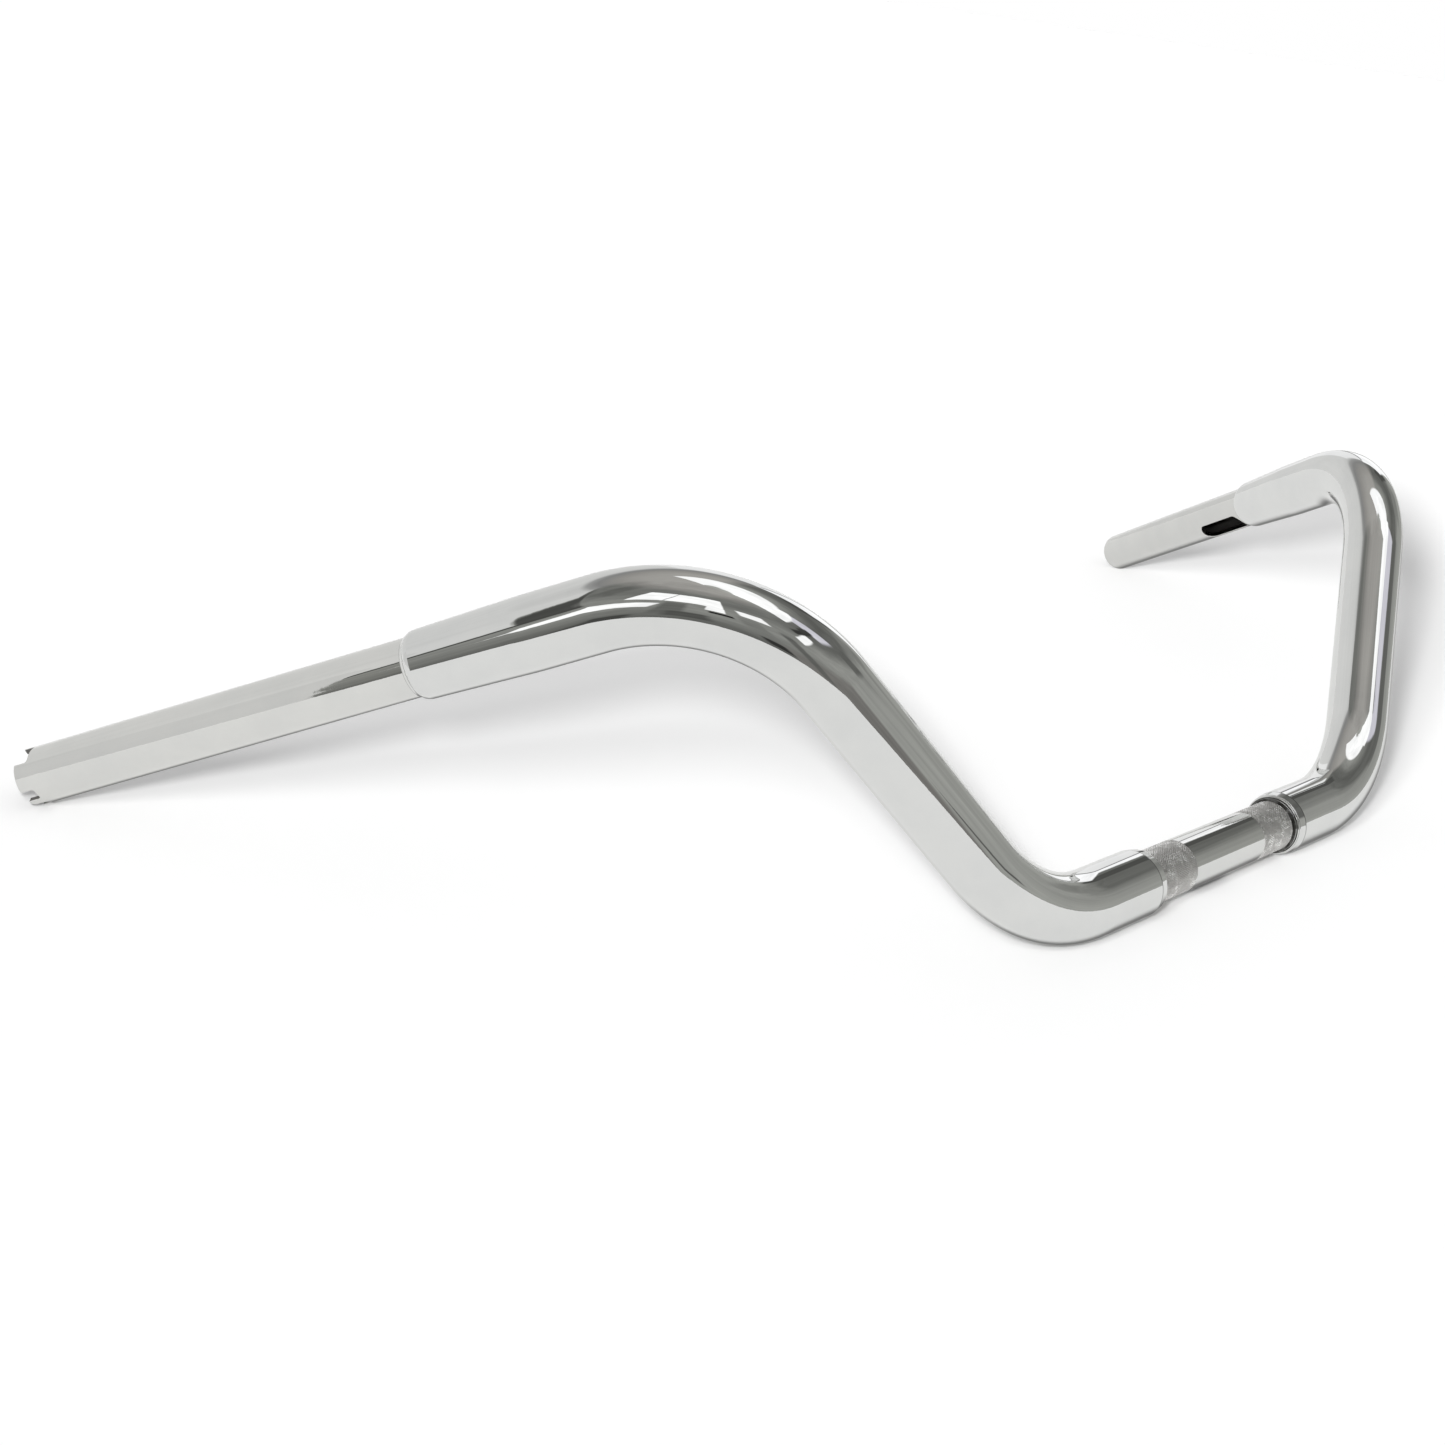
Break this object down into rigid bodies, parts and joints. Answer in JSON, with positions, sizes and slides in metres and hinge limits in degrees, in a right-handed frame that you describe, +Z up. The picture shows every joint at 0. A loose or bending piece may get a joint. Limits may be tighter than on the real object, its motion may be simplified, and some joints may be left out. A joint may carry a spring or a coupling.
{
  "type": "handlebar",
  "caption": "Motorcycle handlebar: bent fat uprights welded to a knurled clamp section and slimmer pulled-back grip tubes, one notched for a throttle sensor.",
  "frame": {"origin": "centre of the clamp section, on its axis", "axes": "+X towards the rider's right hand along the clamp axis, +Y forward, +Z up with the bar lying on a bench on both fat tubes and both grip rims; the uprights then lean back 29.8 degrees from vertical"},
  "size_m": [0.8693, 0.3629, 0.1615],
  "materials": {
    "chrome": "polished chrome plate",
    "knurled_chrome": "chrome plate, polished in the middle and knurled on both seats",
    "weld_chrome": "dressed weld under chrome plate"
  },
  "bodies": {
    "root": {"clamp_section": "knurled_chrome", "riser_tube_right": "chrome", "riser_tube_left": "chrome", "grip_tube_right": "chrome", "grip_tube_left": "chrome", "weld_clamp_right": "weld_chrome", "weld_clamp_left": "weld_chrome", "weld_grip_right": "weld_chrome", "weld_grip_left": "weld_chrome"}
  },
  "joints": []
}
